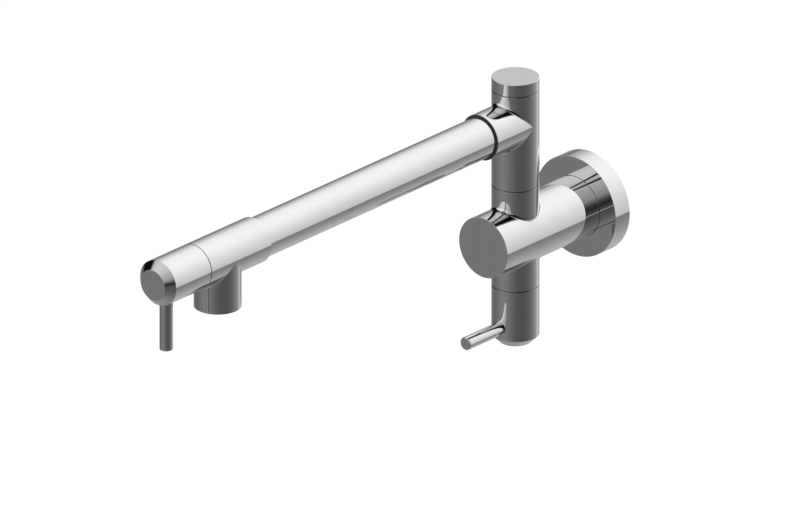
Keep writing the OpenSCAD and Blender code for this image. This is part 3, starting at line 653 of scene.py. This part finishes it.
def cross_body():
    """The barrel with its upper and lower neck, and the water's way through it."""
    barrel = crossing(
        BARREL_AXIS,
        outline((0, BARREL_BACK), (BARREL_R, BARREL_BACK, CRISP), (BARREL_R, POST_AT)),
        outline((BARREL_R, POST_AT), (BARREL_R, BARREL_END, CRISP), (0, BARREL_END)),
        [(POST_AXIS, outline((POST_R, BARREL_R), (POST_R, NECK_TOP, FINE), (0, NECK_TOP))),
         (NECK_AXIS, outline((POST_R, BARREL_R), (POST_R, -NECK_FOOT, FINE), (0, -NECK_FOOT)))])
    riser_foot, spigot_foot, spigot_r = 3.5, 18.8, 8.38
    riser = turned(POST_AXIS, outline(
        (0, riser_foot), (WATER_R, riser_foot), (WATER_R, spigot_foot), (spigot_r, spigot_foot),
        (spigot_r, NECK_TOP + PAST), (0, NECK_TOP + PAST)), turns=96)
    inlet_deep, passage_start = 17, 16
    inlet = turned(BARREL_AXIS, outline(
        (0, 0), (THREAD_BORE_R, 0), (THREAD_BORE_R, inlet_deep), (0, inlet_deep)), turns=96)
    passage = turned(PASSAGE_AXIS, outline(
        (0, passage_start), (WATER_R, passage_start), (WATER_R, POST_AT), (0, POST_AT)), turns=64)
    mesh = cut_away(barrel, cartridge_pocket(SUPPLY_AXIS), riser, inlet, passage)
    finished("cross_body", mesh, "wall_mount", "polished_chrome", "valve_body")


# Pieces on the swinging arm

def swivel_tee():
    """The tee that turns on the post, with the collar that takes the arm."""
    upright = crossing(
        POST_AXIS,
        outline((0, TEE_FOOT), (POST_R, TEE_FOOT, FINE), (POST_R, ARM_UP)),
        outline((POST_R, ARM_UP), (POST_R, TEE_TOP, FINE), (0, TEE_TOP)),
        [(ARM_AXIS, outline((POST_R, POST_R), (POST_R, COLLAR_END, KEEN), (0, COLLAR_END)))])
    spigot_r, cap_bore_r, cap_bore_foot = 10, 11.55, 92.3
    bore = turned(POST_AXIS, outline(
        (0, TEE_FOOT - PAST), (spigot_r, TEE_FOOT - PAST), (spigot_r, cap_bore_foot),
        (cap_bore_r, cap_bore_foot), (cap_bore_r, TEE_TOP + PAST), (0, TEE_TOP + PAST)), turns=192)
    way_r, seat = 7.5, COLLAR_END - RING_SEAT_DEEP
    socket = turned(ARM_AXIS, outline(
        (0, 0), (way_r, 0), (way_r, TUBE_START), (SOCKET_R, TUBE_START), (SOCKET_R, seat),
        (COLLAR_SEAT_R, seat), (COLLAR_SEAT_R, COLLAR_END + PAST), (0, COLLAR_END + PAST)),
        turns=192)
    finished("swivel_tee", cut_away(upright, bore, socket), "arm", "polished_chrome", "arm_tee")


def post_cap():
    """The cap on top of the post, with a hollow plug that holds a ring in its groove."""
    hollow_r, groove_r, plug_r, step_r = 7.9, 10, 11.5, 12.5
    plug_foot, groove_foot, face, top = 94.4, 96.4, 98.5, 106.4
    strokes = outline(
        (0, TEE_TOP), (hollow_r, TEE_TOP), (hollow_r, plug_foot), (plug_r, plug_foot),
        (plug_r, groove_foot), (groove_r, groove_foot), (groove_r, TEE_TOP), (step_r, TEE_TOP),
        (step_r, face), (POST_R, face, FINE), (POST_R, top, CRISP), (0, top))
    finished("post_cap", turned(POST_AXIS, strokes), "arm", "polished_chrome", "top_cap")


def arm_pipe():
    """The tube between the tee's collar and the outlet."""
    strokes = outline((TUBE_BORE_R, TUBE_START), (TUBE_R, TUBE_START), (TUBE_R, TUBE_END),
                      (TUBE_BORE_R, TUBE_END), closed=True)
    finished("arm_pipe", turned(ARM_AXIS, strokes), "arm", "polished_chrome", "arm_tube")


def tube_seals():
    """The black rings in the mouths of the collar and of the outlet."""
    room, inset, thick = 0.02, 0.1, 1.5
    rings = []
    for seat_r, low in ((COLLAR_SEAT_R, COLLAR_END - RING_SEAT_DEEP),
                        (OUTLET_SEAT_R, OUTLET_START + inset)):
        inner_r, outer_r, high = TUBE_R + room, seat_r - room, low + thick
        rings.append(turned(ARM_AXIS, outline(
            (inner_r, low, FINE), (outer_r, low, FINE), (outer_r, high, FINE),
            (inner_r, high, FINE), closed=True), turns=192))
    finished("tube_seals", joined(*rings), "arm", "black_rubber", "tube_seal_rings")


def outlet_head():
    """The outlet with its downward spout."""
    head = crossing(
        ARM_AXIS,
        outline((0, OUTLET_START), (POST_R, OUTLET_START, FINE), (POST_R, SPOUT_AT)),
        outline((POST_R, SPOUT_AT), (POST_R, OUTLET_END, FINE), (0, OUTLET_END)),
        [(SPOUT_AXIS, outline((POST_R, POST_R), (POST_R, SPOUT_MOUTH, CRISP), (0, SPOUT_MOUTH)))])
    seat, way_end = OUTLET_START + RING_SEAT_DEEP, 266.65
    passage = turned(ARM_AXIS, outline(
        (0, OUTLET_START - PAST), (OUTLET_SEAT_R, OUTLET_START - PAST), (OUTLET_SEAT_R, seat),
        (SOCKET_R, seat), (SOCKET_R, TUBE_END), (WATER_R, TUBE_END), (WATER_R, way_end),
        (0, way_end)), turns=192)
    drop_r, aerator_seat, aerator_r = 8, 22.3, 12.05
    mouth = turned(SPOUT_AXIS, outline(
        (0, 0), (drop_r, 0), (drop_r, aerator_seat), (aerator_r, aerator_seat),
        (aerator_r, SPOUT_MOUTH + PAST), (0, SPOUT_MOUTH + PAST)), turns=192)
    mesh = cut_away(head, cartridge_pocket(OUTLET_AXIS), passage, mouth)
    finished("outlet_head", mesh, "arm", "polished_chrome", "outlet_body")


def aerator_shell():
    """The aerator's screwed ring, with four key notches in its mouth."""
    lip_r, inner_r, outer_r = 9.3, 10.2, 12
    start, lip, end = 23.8, 30.6, 32.8
    ring = turned(SPOUT_AXIS, outline(
        (inner_r, start), (outer_r, start, FINE), (outer_r, end, CRISP), (lip_r, end, FINE),
        (lip_r, lip), (inner_r, lip), closed=True), turns=192)
    reach, half_width, notch_start, notch_end = 13, 1.5, 31.6, 33.8
    notches = [prism(SPOUT_AXIS, [(-a, -b), (a, -b), (a, b), (-a, b)], notch_start, notch_end)
               for a, b in ((reach, half_width), (half_width, reach))]
    finished("aerator_shell", cut_away(ring, *notches), "arm", "machined_brass", "aerator_ring")


# Handles and their levers

def across_handle(handle_axis, level, direction):
    """The axis of a pin or a screw that points sideways out of a handle."""
    start, along = handle_axis[0], handle_axis[1]
    return turning_axis(start + along * level, direction, along)


def handle_knob(name, axis, body, lever_way, grub_way, stands_for):
    """A round handle: chamfered end, broached bore, lever seat and grub hole."""
    knob = turned(axis, outline(
        (0, HANDLE_START), (POST_R, HANDLE_START, FINE),
        (POST_R, HANDLE_END - HANDLE_CHAMFER, FINE), (POST_R - HANDLE_CHAMFER, HANDLE_END, FINE),
        (0, HANDLE_END)), turns=240)
    hollow_r, hollow_start, hollow_end = 12.7, HANDLE_START - PAST, 9.5
    hollow = turned(axis, outline(
        (0, hollow_start), (hollow_r, hollow_start), (hollow_r, hollow_end), (0, hollow_end)),
        turns=96)
    splines_start, splines_end = 9, 20.1
    splines = prism(axis, spline_teeth(tip_r=4.04, tooth_h=0.5, teeth=20),
                    splines_start, splines_end)
    stud_r, stud_start, pin_r, outside = 2.55, 2.9, 4.29, POST_R + PAST
    seat = turned(across_handle(axis, LEVER_AT, lever_way), outline(
        (0, stud_start), (stud_r, stud_start), (stud_r, LEVER_SEAT), (pin_r, LEVER_SEAT),
        (pin_r, outside), (0, outside)), turns=96)
    grub_r = 2.05
    grub_hole = turned(across_handle(axis, GRUB_AT, grub_way), outline(
        (0, 0), (grub_r, 0), (grub_r, outside), (0, outside)), turns=64)
    finished(name, cut_away(knob, hollow, splines, seat, grub_hole), body,
             "polished_chrome", stands_for)


def lever_pin(name, axis, body, lever_way, stands_for):
    """A pin lever with rounded edges and the stud that holds it."""
    stud_r, stud_start = 2.5, 3
    strokes = outline((0, stud_start), (stud_r, stud_start), (stud_r, LEVER_SEAT),
                      (LEVER_R, LEVER_SEAT), (LEVER_R, LEVER_END, LEVER_ROUND), (0, LEVER_END))
    finished(name, turned(across_handle(axis, LEVER_AT, lever_way), strokes, turns=160), body,
             "polished_chrome", stands_for)


def grub_pin(name, axis, body, grub_way, stands_for):
    """The grub screw that holds a handle on its splines, with its key socket."""
    grub_axis = across_handle(axis, GRUB_AT, grub_way)
    tip_r, thread_r, head_r = 1.5, 2, 1.7
    tip, thread_start, thread_end, head = 4.04, 4.54, 14.1, 14.4
    pin = turned(grub_axis, outline(
        (0, tip), (tip_r, tip), (thread_r, thread_start), (thread_r, thread_end),
        (head_r, head), (0, head)), turns=64)
    key_size, key_foot, key_end = 2, 12.2, 15
    mesh = cut_away(pin, prism(grub_axis, hexagon(key_size), key_foot, key_end))
    finished(name, mesh, body, "stainless_steel", stands_for)


# What repeats: the inlet's thread and the aerator's cells, as geometry nodes. The
# trees' own sizes are in metres.

def node_tree(name, sizes):
    """A geometry node tree with named number inputs and a material input."""
    tree = bpy.data.node_groups.new(name, "GeometryNodeTree")
    for size_name, kind, value in sizes:
        socket = tree.interface.new_socket(size_name, in_out="INPUT", socket_type=kind)
        socket.default_value = value
    tree.interface.new_socket("Finish", in_out="INPUT", socket_type="NodeSocketMaterial")
    tree.interface.new_socket("Geometry", in_out="OUTPUT", socket_type="NodeSocketGeometry")
    return tree, tree.nodes.new("NodeGroupInput").outputs, tree.nodes.new("NodeGroupOutput").inputs


def end_tree(tree, shape, given, result):
    """Every tree ends by making its instances real and setting the finish."""
    real = node_of(tree, "GeometryNodeRealizeInstances", {"Geometry": shape})
    finish = node_of(tree, "GeometryNodeSetMaterial", {
        "Geometry": real.outputs["Geometry"], "Material": given["Finish"]})
    feed(tree, result["Geometry"], finish.outputs["Geometry"])


def grown(tree, finish, **sizes):
    """The plain mesh that a node tree makes with these sizes."""
    blank = placed("blank", bpy.data.meshes.new("blank"))
    modifier = blank.modifiers.new("nodes", "NODES")
    modifier.node_group = tree
    given = dict(sizes, Finish=finish)
    for item in tree.interface.items_tree:
        if item.in_out == "INPUT" and item.name in given:
            modifier[item.identifier] = given[item.name]
    return settled(blank)


def thread_tree():
    """A screw thread: a pointed ridge that climbs round the axis, turn by turn."""
    tree, given, result = node_tree("screw_thread", [
        ("Radius", "NodeSocketFloat", 0.0093),
        ("Pitch", "NodeSocketFloat", 0.0018),
        ("Length", "NodeSocketFloat", 0.016),
        ("Steps per turn", "NodeSocketInt", 72),
        ("Ridge", "NodeSocketFloat", 0.0012),
    ])
    climb = node_of(tree, "GeometryNodeCurveSpiral", {
        "Resolution": given["Steps per turn"],
        "Rotations": maths(tree, "DIVIDE", given["Length"], given["Pitch"]),
        "Start Radius": given["Radius"],
        "End Radius": given["Radius"],
        "Height": given["Length"]})
    upright = node_of(tree, "GeometryNodeSetCurveNormal", {"Curve": climb.outputs["Curve"]},
                      mode="Z_UP")
    ridge = node_of(tree, "GeometryNodeCurvePrimitiveCircle", {
        "Resolution": 4, "Radius": given["Ridge"]})
    sweep = node_of(tree, "GeometryNodeCurveToMesh", {
        "Curve": upright.outputs["Curve"], "Profile Curve": ridge.outputs["Curve"],
        "Fill Caps": True})
    end_tree(tree, sweep.outputs["Mesh"], given, result)
    return tree


def honeycomb_tree():
    """A round plate with hexagonal cells cut through it, in rings round the middle."""
    tree, given, result = node_tree("honeycomb", [
        ("Radius", "NodeSocketFloat", 0.01015),
        ("Height", "NodeSocketFloat", 0.006),
        ("Pitch", "NodeSocketFloat", 0.0022),
        ("Wall", "NodeSocketFloat", 0.0005),
        ("Rings", "NodeSocketInt", 3),
    ])

    def calc(operation, *values):
        return maths(tree, operation, *values)

    # A point for each place in a slanted square of rows
    lines = calc("ADD", calc("MULTIPLY", given["Rings"], 2.0), 1.0)
    index = tree.nodes.new("GeometryNodeInputIndex").outputs[0]
    row = calc("SUBTRACT", calc("FLOOR", calc("DIVIDE", index, lines)), given["Rings"])
    place = calc("SUBTRACT", calc("MODULO", index, lines), given["Rings"])
    slant = calc("ADD", place, calc("MULTIPLY", row, 0.5))
    rise = calc("MULTIPLY", row, math.sin(math.radians(60)))
    spot = node_of(tree, "ShaderNodeCombineXYZ", {
        "X": calc("MULTIPLY", given["Pitch"], slant), "Y": calc("MULTIPLY", given["Pitch"], rise)})
    points = node_of(tree, "GeometryNodePoints", {
        "Count": calc("MULTIPLY", lines, lines), "Position": spot.outputs[0]})

    # Only the places inside the hexagon of rings stay, and each gets a cell
    far = calc("ABSOLUTE", calc("ADD", row, place))
    outside = calc("GREATER_THAN", far, calc("ADD", given["Rings"], 0.5))
    kept = node_of(tree, "GeometryNodeDeleteGeometry", {
        "Geometry": points.outputs[0], "Selection": outside}, domain="POINT")
    across_flats = calc("SUBTRACT", given["Pitch"], given["Wall"])
    cell = node_of(tree, "GeometryNodeMeshCylinder", {
        "Vertices": 6, "Radius": calc("DIVIDE", across_flats, math.sqrt(3)),
        "Depth": calc("MULTIPLY", given["Height"], 1.5)})
    cells = node_of(tree, "GeometryNodeInstanceOnPoints", {
        "Points": kept.outputs[0], "Instance": cell.outputs["Mesh"]})
    real = node_of(tree, "GeometryNodeRealizeInstances", {"Geometry": cells.outputs[0]})
    plate = node_of(tree, "GeometryNodeMeshCylinder", {
        "Vertices": 96, "Radius": given["Radius"], "Depth": given["Height"]})
    drill = node_of(tree, "GeometryNodeMeshBoolean", {
        "Mesh 1": plate.outputs["Mesh"], "Mesh 2": real.outputs[0]},
        operation="DIFFERENCE", solver="EXACT")
    end_tree(tree, drill.outputs["Mesh"], given, result)
    return tree


def laid_along(mesh, axis, place):
    """Moves a mesh that is made round the upright axis onto a turning axis."""
    start, along, side, across = axis
    for vertex in mesh.vertices:
        x, y, z = vertex.co
        vertex.co = (start + along * place) * MM + side * x + across * y + along * z
    return mesh


def joined(*meshes):
    """One mesh of several. A face that has no mark yet is marked as flat."""
    points, faces, marks = [], [], []
    for mesh in meshes:
        shift = len(points)
        points += [vertex.co.copy() for vertex in mesh.vertices]
        marked = mesh.attributes.get("stroke")
        for face in mesh.polygons:
            faces.append([shift + v for v in face.vertices])
            marks.append(marked.data[face.index].value if marked else FLAT)
    return marked_mesh(points, faces, marks)


def inlet_tail():
    """The threaded nipple that screws into the wall and carries the whole tap."""
    bore_r, tip_r, neck_r, root_r = 6, 8.6, 9.3, 9.35
    wall_tip, wall_thread, neck_end, tap_thread, tap_tip = -18, -17.2, 3, 14.2, 15
    core = turned(BARREL_AXIS, outline(
        (bore_r, wall_tip, FINE), (tip_r, wall_tip), (root_r, wall_thread), (root_r, 0),
        (neck_r, 0), (neck_r, neck_end), (root_r, neck_end), (root_r, tap_thread),
        (tip_r, tap_tip), (bore_r, tap_tip), closed=True), turns=144)
    key_size, key_foot, key_end = 14, 7, 16
    core = cut_away(core, prism(BARREL_AXIS, hexagon(key_size), key_foot, key_end))
    tree, brass = thread_tree(), FINISHES["machined_brass"]
    sizes = {"Radius": 0.00935, "Pitch": 0.001814, "Ridge": 0.00108}
    threads = [laid_along(grown(tree, brass, Length=length, **sizes), BARREL_AXIS, start)
               for start, length in ((-16.7, 0.0152), (4.3, 0.0092))]
    finished("inlet_tail", joined(core, *threads), "wall_mount", "machined_brass", "inlet_nipple")


def aerator_cells():
    """The honeycomb that evens out the stream."""
    plate = grown(honeycomb_tree(), FINISHES["white_polymer"], Radius=0.01015, Height=0.006,
                  Pitch=0.0022, Wall=0.0005, Rings=3)
    middle = 27.6
    finished("aerator_cells", laid_along(plate, SPOUT_AXIS, middle), "arm", "white_polymer",
             "aerator_insert")


# The studio: a soft box on the side of the wall and one in the room, with a dark gap
# between them, a small one overhead, a pale ground, and white paper behind the tap.
# Its sizes are in metres.

def compass(azimuth, elevation):
    """A direction: azimuth 0 is out from the wall and 90 is to the right of it."""
    a, e = math.radians(azimuth), math.radians(elevation)
    return Vector((math.sin(a) * math.cos(e), -math.cos(a) * math.cos(e), math.sin(e)))


def studio_light(tree):
    """The light that comes from each direction, built up from soft boxes."""
    way = tree.nodes.new("ShaderNodeTexCoord").outputs["Generated"]

    def towards(azimuth, elevation):
        """How much a direction agrees with this one: 1 along it, 0 across it."""
        return node_of(tree, "ShaderNodeVectorMath", {0: way, 1: compass(azimuth, elevation)},
                       operation="DOT_PRODUCT").outputs["Value"]

    def glow(azimuth, elevation, peak, narrowness):
        """Brightest in one direction, fading away from it."""
        apart = maths(tree, "SUBTRACT", towards(azimuth, elevation), 1.0)
        fading = maths(tree, "EXPONENT", maths(tree, "MULTIPLY", apart, narrowness))
        return maths(tree, "MULTIPLY", fading, peak)

    def step(azimuth, elevation, low, high, start, end):
        """Rises smoothly from start to end as a direction comes nearer to this one."""
        return spread(tree, towards(azimuth, elevation), low, high, start, end, "SMOOTHSTEP")

    def edge(azimuth, elevation, softness):
        """1 on the side of a straight edge that faces this direction, and 0 beyond it."""
        return step(azimuth, elevation, -softness, softness, 0.0, 1.0)

    def within(*masks):
        """All the masks multiplied."""
        whole = masks[0]
        for mask in masks[1:]:
            whole = maths(tree, "MULTIPLY", whole, mask)
        return whole

    wall_box = glow(177, 20, peak=1.56, narrowness=1.68)
    wall_mask = within(edge(171, 67, softness=0.024), edge(135.5, 2.5, softness=0.26),
                       edge(202, -10, softness=0.4),
                       step(130, 33.4, low=-0.03, high=0.03, start=0.6, end=1.0))
    room_box = glow(-21.4, 17.5, peak=1.24, narrowness=1.98)
    room_mask = within(edge(-15, -17, softness=0.35), edge(-46.3, 2.9, softness=0.074),
                       edge(-20, 75, softness=0.016), edge(0, 20, softness=0.01),
                       edge(29, 11, softness=0.12))
    top_box = step(0, 90, low=0.955, high=0.985, start=0.0, end=0.9)
    ground_level, darkest = 0.08, 0.005
    ground = maths(tree, "ADD", ground_level, maths(
        tree, "ADD", glow(189.5, -36.5, peak=0.49, narrowness=3),
        glow(-20, -48.5, peak=0.27, narrowness=4.2)))
    ground = within(ground, step(0, -90, low=0.0, high=0.185, start=0.0, end=1.0))
    ground = maths(tree, "MAXIMUM", ground, darkest)
    past_room = maths(tree, "SUBTRACT", 1.0, room_mask)
    past_wall = maths(tree, "SUBTRACT", 1.0, wall_mask)
    total = within(ground, past_room, past_wall)
    total = maths(tree, "ADD", total, within(room_box, room_mask, past_wall))
    total = maths(tree, "ADD", total, within(wall_box, wall_mask))
    return maths(tree, "MAXIMUM", total, top_box)


def studio():
    """Polished metal mirrors the soft boxes. Matt pieces get the same plain light
    from all round, at the level where a colour shows as it is."""
    world = bpy.data.worlds.new("studio")
    world.use_nodes = True
    world.cycles.sampling_method = "NONE"
    bpy.context.scene.world = world
    tree = world.node_tree
    sky = tree.nodes["Background"]
    rays = tree.nodes.new("ShaderNodeLightPath").outputs
    strength = spread(tree, rays["Is Diffuse Ray"], 0.0, 1.0, studio_light(tree), 1.0)
    feed(tree, sky.inputs["Color"], (*grey(1), 1))
    feed(tree, sky.inputs["Strength"], strength)


def studio_paper():
    """White paper: it keeps a soft shadow, and a faint glow lifts it to white."""
    lift = 0.05
    material, tree, shader, where = new_material("studio_paper")
    shader.inputs["Roughness"].default_value = 1
    shader.inputs["Specular IOR Level"].default_value = 0
    feed(tree, shader.inputs["Base Color"],
         tint(tree, mottle(tree, where, scale=40), grey(0.975), grey(0.985)))
    rays = tree.nodes.new("ShaderNodeLightPath").outputs
    seen = maths(tree, "MAXIMUM", rays["Is Camera Ray"],
                 maths(tree, "MAXIMUM", rays["Is Glossy Ray"], rays["Is Transmission Ray"]))
    feed(tree, shader.inputs["Emission Color"], (*grey(1), 1))
    feed(tree, shader.inputs["Emission Strength"], maths(tree, "MULTIPLY", seen, lift))
    return material


def white_sheet(name, corners, paper):
    """A plain white sheet of the floor or of a backdrop."""
    mesh = bpy.data.meshes.new(name)
    mesh.from_pydata(corners, [], [(0, 1, 2, 3)])
    mesh.materials.append(paper)
    placed(name, mesh)


def view_axes(azimuth, elevation):
    """Right, up and back of a camera that looks at the tap from this direction."""
    back = compass(azimuth, elevation)
    right = Vector((math.cos(math.radians(azimuth)), math.sin(math.radians(azimuth)), 0))
    return right, back.cross(right), back


# The photograph's view: its direction, its width in pixels, a pixel's size in metres,
# and where the foot of the post's axis lies in it, right of its middle and above it
PHOTO_VIEW = (41.2, 23.28)
PHOTO_WIDTH = 800
PHOTO_PIXEL = 0.0006225
FOOT_RIGHT, FOOT_ABOVE = 115.42, 22.66
PHOTO_RIGHT, PHOTO_UP, PHOTO_BACK = view_axes(*PHOTO_VIEW)
PHOTO_MIDDLE = (Vector((0, -POST_AT * MM, 0)) - PHOTO_RIGHT * FOOT_RIGHT * PHOTO_PIXEL
                - PHOTO_UP * FOOT_ABOVE * PHOTO_PIXEL)

# How far away the camera is, how far down the floor, and how far off the backdrops
CAMERA_AWAY = 1.0
FLOOR_DROP = 8.3
BACKDROP_AWAY = 20.4


def floor_and_backdrops(paper):
    """White paper behind the tap in each usual view: the floor where a view falls on
    it, and a sheet that stands far off where the view is nearly level. All are only
    as large as the frame, so that the polished metal hardly mirrors them."""
    for name, view, middle, half_width, half_height in (
            ("floor", PHOTO_VIEW, PHOTO_MIDDLE, 0.26, 0.17),
            ("floor_beside", (45, 25), (-0.025, -0.025, 0), 0.39, 0.23),
            ("backdrop_front_right", (225, 15), (-0.02, -0.03, 0.025), 0.385, 0.21),
            ("backdrop_left", (90, 3), (0, -0.124, 0.017), 0.34, 0.19),
            ("backdrop_wall", (0, 3), (0, -0.12, 0.017), 0.43, 0.19)):
        right, up, back = view_axes(*view)
        corners = []
        for x, y in ((-1, -1), (1, -1), (1, 1), (-1, 1)):
            corner = Vector(middle) + right * x * half_width + up * y * half_height
            away = (corner.z + FLOOR_DROP) / back.z if name.startswith("floor") else BACKDROP_AWAY
            corners.append(corner - back * away)
        white_sheet(name, corners, paper)


def photo_camera():
    """Looks down on the tap from its front right, without perspective."""
    lens = bpy.data.cameras.new("photo_camera")
    lens.type = "ORTHO"
    lens.ortho_scale = PHOTO_WIDTH * PHOTO_PIXEL
    camera = placed("photo_camera", lens)
    camera.location = PHOTO_MIDDLE + PHOTO_BACK * CAMERA_AWAY
    camera.rotation_mode = "QUATERNION"
    camera.rotation_quaternion = (-PHOTO_BACK).to_track_quat("-Z", "Y")
    bpy.context.scene.camera = camera


bpy.context.scene.view_settings.view_transform = "Standard"
photo_camera()
studio()
floor_and_backdrops(studio_paper())

dress_solids()
flange_cover()
wall_gasket()
cross_body()
inlet_tail()
swivel_tee()
post_cap()
arm_pipe()
tube_seals()
outlet_head()
aerator_shell()
aerator_cells()
handle_knob("supply_knob", SUPPLY_AXIS, "supply_control", OUT, LEFT, "supply_handle")
lever_pin("supply_pin", SUPPLY_AXIS, "supply_control", OUT, "supply_lever")
grub_pin("supply_grub", SUPPLY_AXIS, "supply_control", LEFT, "supply_grub_screw")
handle_knob("outlet_knob", OUTLET_AXIS, "outlet_control", DOWN, LEFT, "outlet_handle")
lever_pin("outlet_pin", OUTLET_AXIS, "outlet_control", DOWN, "outlet_lever")
grub_pin("outlet_grub", OUTLET_AXIS, "outlet_control", LEFT, "outlet_grub_screw")
